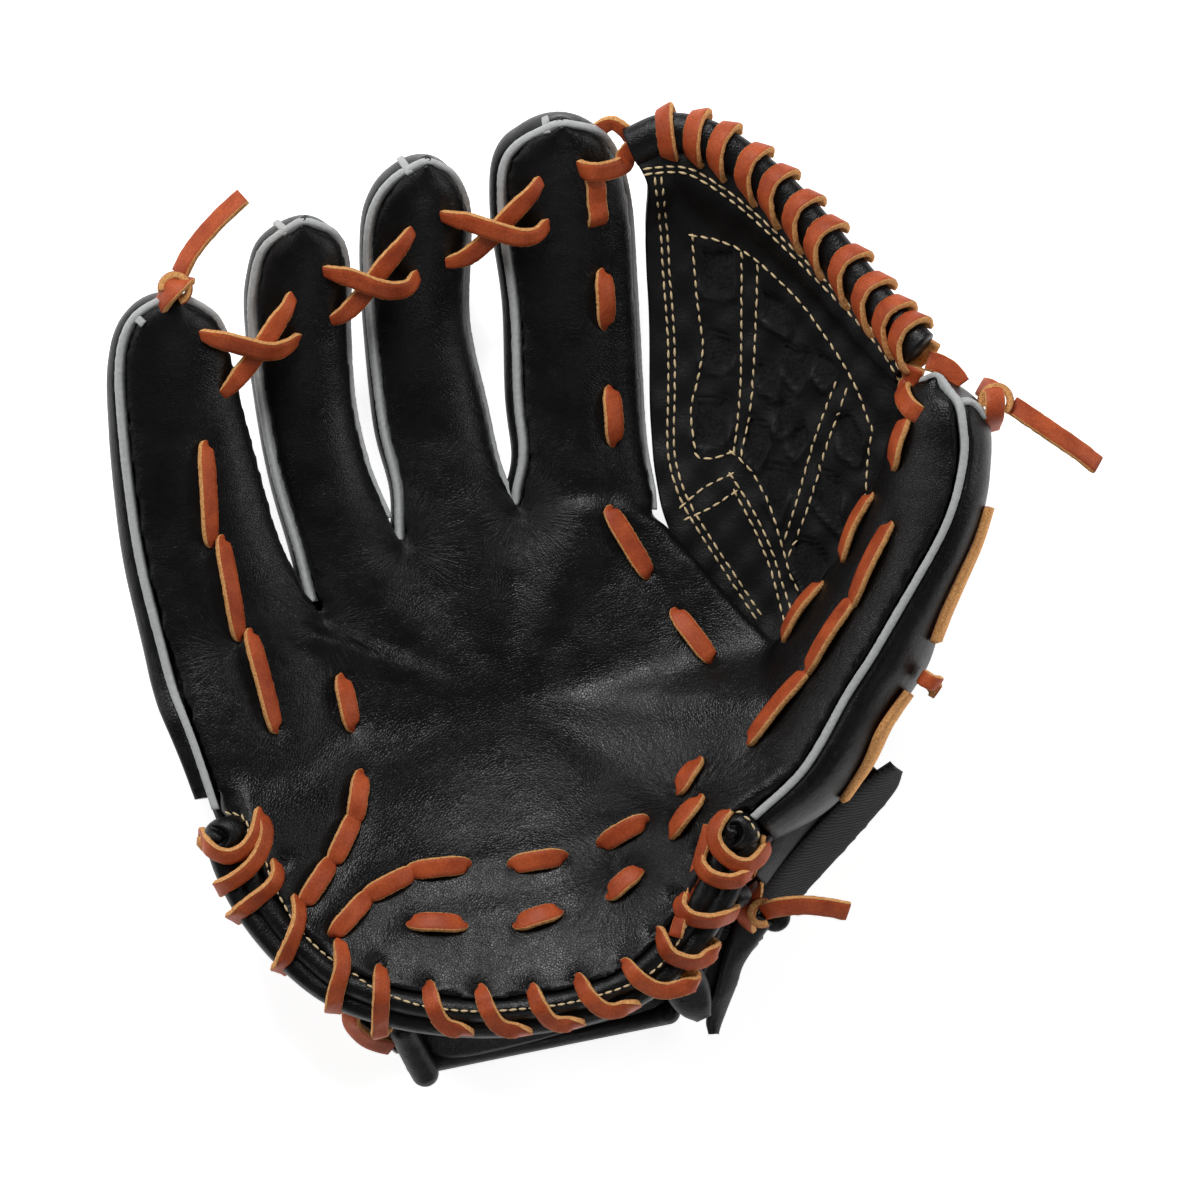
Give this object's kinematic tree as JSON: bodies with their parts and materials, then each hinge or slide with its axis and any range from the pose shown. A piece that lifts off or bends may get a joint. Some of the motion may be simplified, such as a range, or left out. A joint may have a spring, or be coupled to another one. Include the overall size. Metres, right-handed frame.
{
  "type": "pitcher glove",
  "caption": "Right-hand leather pitcher glove lying palm up, with padded finger stalls, a closed woven web, a laced double-roll heel and a wrist strap.",
  "frame": {"origin": "under the middle of the glove's outline, on the surface that its back lies on", "axes": "+Z out of the pocket, +Y from the heel towards the fingertips, +X from the pinky side to the thumb side"},
  "size_m": [0.3176, 0.314, 0.083],
  "materials": {
    "black_leather": "smooth grain with a slight sheen",
    "ribbed_textile": "matt ribbed weave",
    "grey_welt": "matt split leather",
    "rust_lace": "grain face with raw cut edges"
  },
  "bodies": {
    "root": {"palm_shell": "black_leather", "pinky_back": "black_leather", "ring_back": "black_leather", "middle_back": "black_leather", "index_back": "black_leather", "thumb_back": "black_leather", "hand_back": "black_leather", "wrist_strap": "ribbed_textile", "strap_tab": "ribbed_textile", "back_roll": "black_leather", "heel_binding": "black_leather", "web_panel": "black_leather", "web_binding": "black_leather", "pinky_welt": "grey_welt", "ring_welt": "grey_welt", "middle_welt": "grey_welt", "index_welt": "grey_welt", "thumb_welt": "grey_welt", "pinky_knot": "rust_lace", "heel_knot": "rust_lace", "thumb_knot": "rust_lace", "thumb_lace_knot": "rust_lace", "heel_lace": "rust_lace", "web_top_lace": "rust_lace", "index_web_lace": "rust_lace", "pinky_lace": "rust_lace", "palm_stitch_lace": "rust_lace", "pinky_heel_lace": "rust_lace", "heel_upper_lace": "rust_lace", "heel_lower_lace": "rust_lace", "thumb_lower_lace": "rust_lace", "thumb_lace": "rust_lace", "web_thumb_lace": "rust_lace", "pinky_ring_lace_under": "rust_lace", "pinky_ring_lace_over": "rust_lace", "ring_middle_lace_under": "rust_lace", "ring_middle_lace_over": "rust_lace", "middle_index_lace_under": "rust_lace", "middle_index_lace_over": "rust_lace", "pinky_knot_end": "rust_lace", "heel_knot_end": "rust_lace", "thumb_knot_end": "rust_lace", "thumb_back_lace": "rust_lace", "thumb_back_lace_lower": "rust_lace", "wrist_loop_lace": "rust_lace"}
  },
  "joints": []
}
